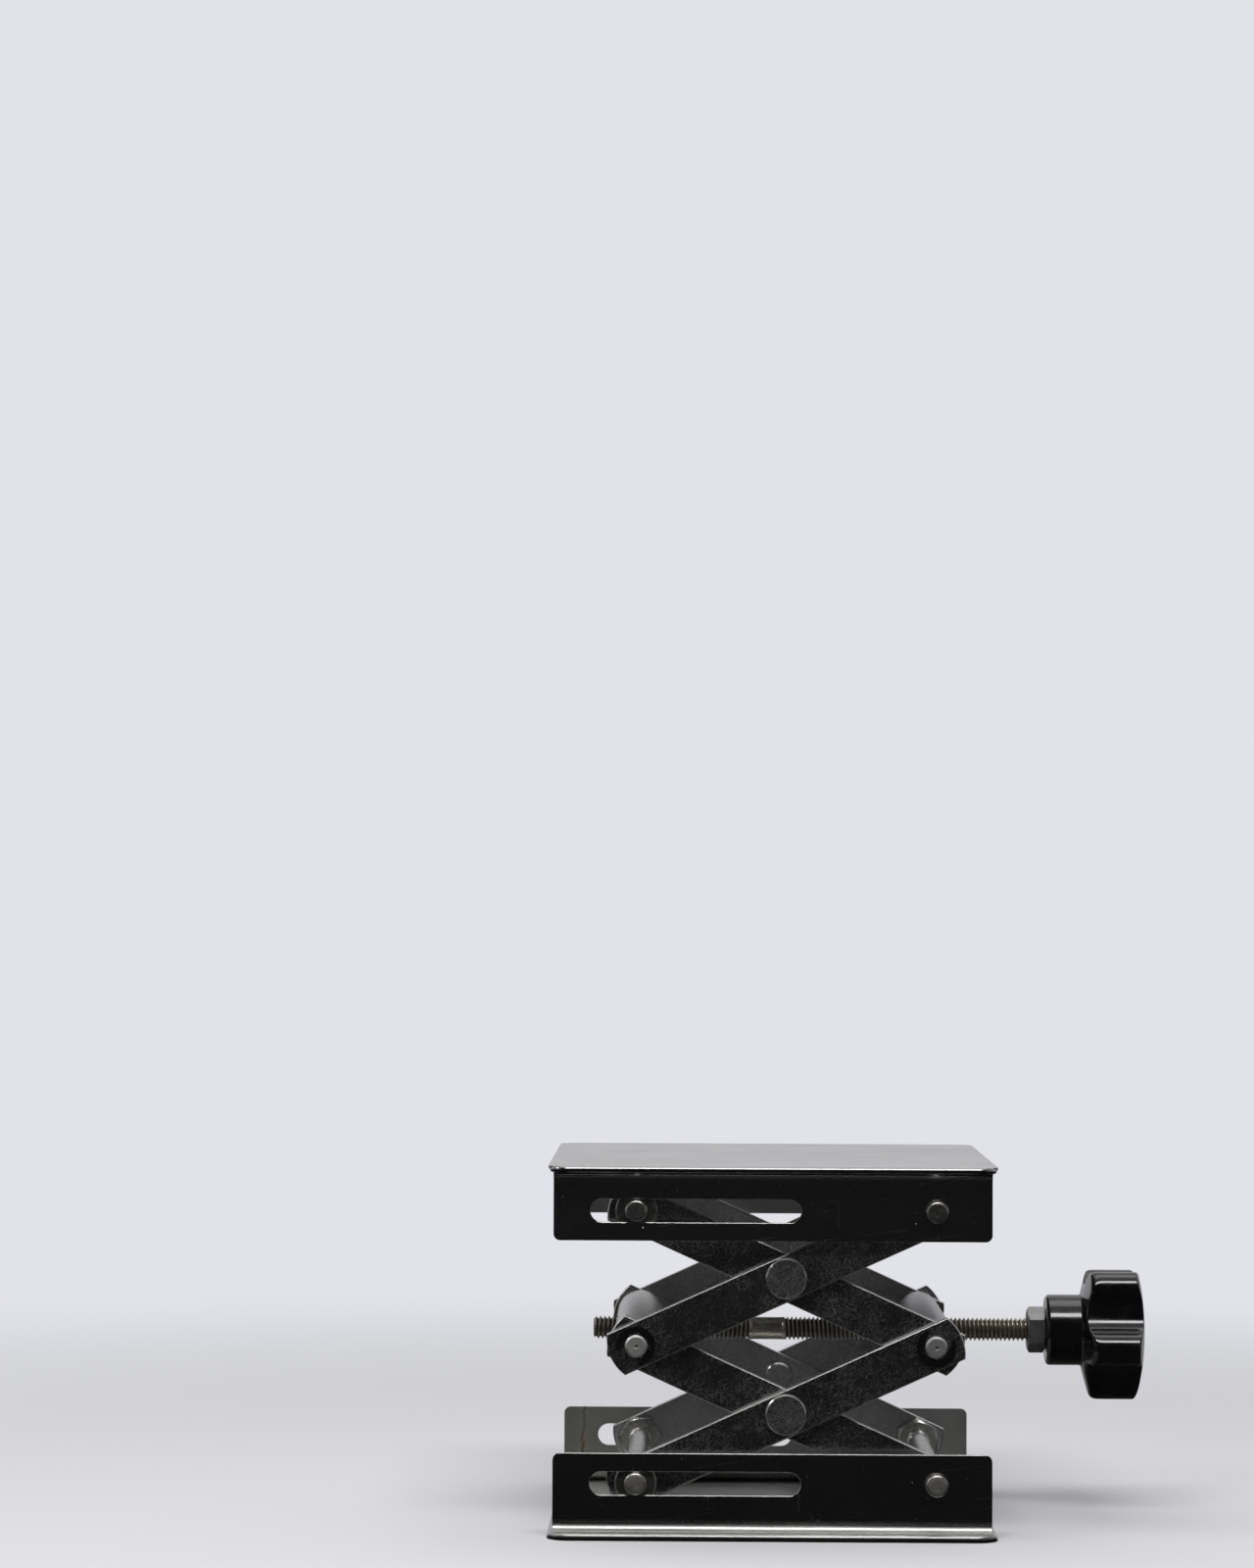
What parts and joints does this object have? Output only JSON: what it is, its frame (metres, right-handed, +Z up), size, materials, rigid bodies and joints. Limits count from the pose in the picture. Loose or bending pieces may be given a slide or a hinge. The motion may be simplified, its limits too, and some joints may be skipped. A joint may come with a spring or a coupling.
{
  "type": "laboratory scissor jack",
  "caption": "Screw-driven scissor lifting platform: folded square base and top plates joined by crossed steel arms, raised by a star knob on a horizontal screw.",
  "frame": {"origin": "centre of the base plate's underside", "axes": "+Z up, +X towards the knob, -Y is the front flange"},
  "size_m": [0.2052, 0.15, 0.1235],
  "materials": {
    "plate_steel": "satin stainless sheet with a fine directional grain",
    "arm_steel": "satin stainless strip, scratched, with bright worn edges",
    "bar_steel": "fine turned",
    "rod_steel": "turned, slightly worn",
    "rivet_steel": "flat ground head with random scratches",
    "screw_steel": "cut thread with an oily warm tint",
    "clip_black": "black oxide spring steel",
    "knob_black": "moulded thermoset, glossy",
    "insert_brass": "turned"
  },
  "bodies": {
    "base": {"base_plate": "plate_steel"},
    "lower_inner": {"lower_front_inner_arm": "arm_steel", "lower_rear_inner_arm": "arm_steel", "base_pivot_rod": "rod_steel", "base_pivot_nuts": "rod_steel", "base_pivot_collars": "bar_steel"},
    "lower_outer": {"lower_front_outer_arm": "arm_steel", "lower_rear_outer_arm": "arm_steel", "lower_front_rivet": "rivet_steel", "lower_rear_rivet": "rivet_steel", "lower_rivet_washers": "bar_steel", "base_slot_rod": "rod_steel", "base_slot_nuts": "rod_steel", "base_slot_washers": "bar_steel"},
    "left_bar": {"left_cross_bar": "bar_steel", "left_bar_clips": "clip_black", "left_bar_washers": "bar_steel"},
    "right_bar": {"right_cross_bar": "bar_steel", "right_bar_clips": "clip_black", "right_bar_washers": "bar_steel"},
    "upper_outer": {"upper_front_outer_arm": "arm_steel", "upper_rear_outer_arm": "arm_steel", "upper_front_rivet": "rivet_steel", "upper_rear_rivet": "rivet_steel", "upper_rivet_washers": "bar_steel", "top_pivot_rod": "rod_steel", "top_pivot_nuts": "rod_steel", "top_pivot_washers": "bar_steel"},
    "upper_inner": {"upper_front_inner_arm": "arm_steel", "upper_rear_inner_arm": "arm_steel", "top_slot_rod": "rod_steel", "top_slot_nuts": "rod_steel", "top_slot_collars": "bar_steel"},
    "top": {"top_plate": "plate_steel"},
    "screw": {"lead_screw": "screw_steel", "lock_nut": "rod_steel", "star_knob": "knob_black", "knob_insert": "insert_brass"}
  },
  "joints": [
    {"name": "base_pivot", "type": "hinge", "parent": "base", "child": "lower_inner", "pos_m": [0.0547, 0, 0.018], "axis": [0, 1, 0], "range_deg": [-15.5, 38.9]},
    {"name": "lower_crossing", "type": "hinge", "parent": "lower_inner", "child": "lower_outer", "pos_m": [0.00457, 0, 0.04063], "axis": [0, 1, 0], "range_deg": [-77.3, 30.5]},
    {"name": "left_bar_pivot", "type": "hinge", "parent": "lower_inner", "child": "left_bar", "pos_m": [-0.04555, 0, 0.06327], "axis": [0, 1, 0], "range_deg": [-38.9, 15.5]},
    {"name": "right_bar_pivot", "type": "hinge", "parent": "lower_outer", "child": "right_bar", "pos_m": [0.0547, 0, 0.06327], "axis": [0, 1, 0], "range_deg": [-15.5, 38.9]},
    {"name": "middle_pivot", "type": "hinge", "parent": "lower_inner", "child": "upper_outer", "pos_m": [-0.04555, 0, 0.06327], "axis": [0, 1, 0], "range_deg": [-77.3, 30.5]},
    {"name": "upper_crossing", "type": "hinge", "parent": "upper_outer", "child": "upper_inner", "pos_m": [0.00457, 0, 0.0859], "axis": [0, 1, 0], "range_deg": [-30.5, 77.3]},
    {"name": "top_pivot", "type": "hinge", "parent": "upper_outer", "child": "top", "pos_m": [0.0547, 0, 0.10853], "axis": [0, 1, 0], "range_deg": [-15.5, 38.9]},
    {"name": "knob_turn", "type": "hinge", "parent": "right_bar", "child": "screw", "pos_m": [0.0547, 0, 0.06327], "axis": [1, 0, 0], "range_deg": [-1920, 4915.2]}
  ],
  "couplings": [
    {"joint": "base_pivot", "follows": "knob_turn", "ratio": 0.0078125},
    {"joint": "lower_crossing", "follows": "knob_turn", "ratio": -0.015625},
    {"joint": "left_bar_pivot", "follows": "knob_turn", "ratio": -0.0078125},
    {"joint": "right_bar_pivot", "follows": "knob_turn", "ratio": 0.0078125},
    {"joint": "middle_pivot", "follows": "knob_turn", "ratio": -0.015625},
    {"joint": "upper_crossing", "follows": "knob_turn", "ratio": 0.015625},
    {"joint": "top_pivot", "follows": "knob_turn", "ratio": 0.0078125}
  ]
}
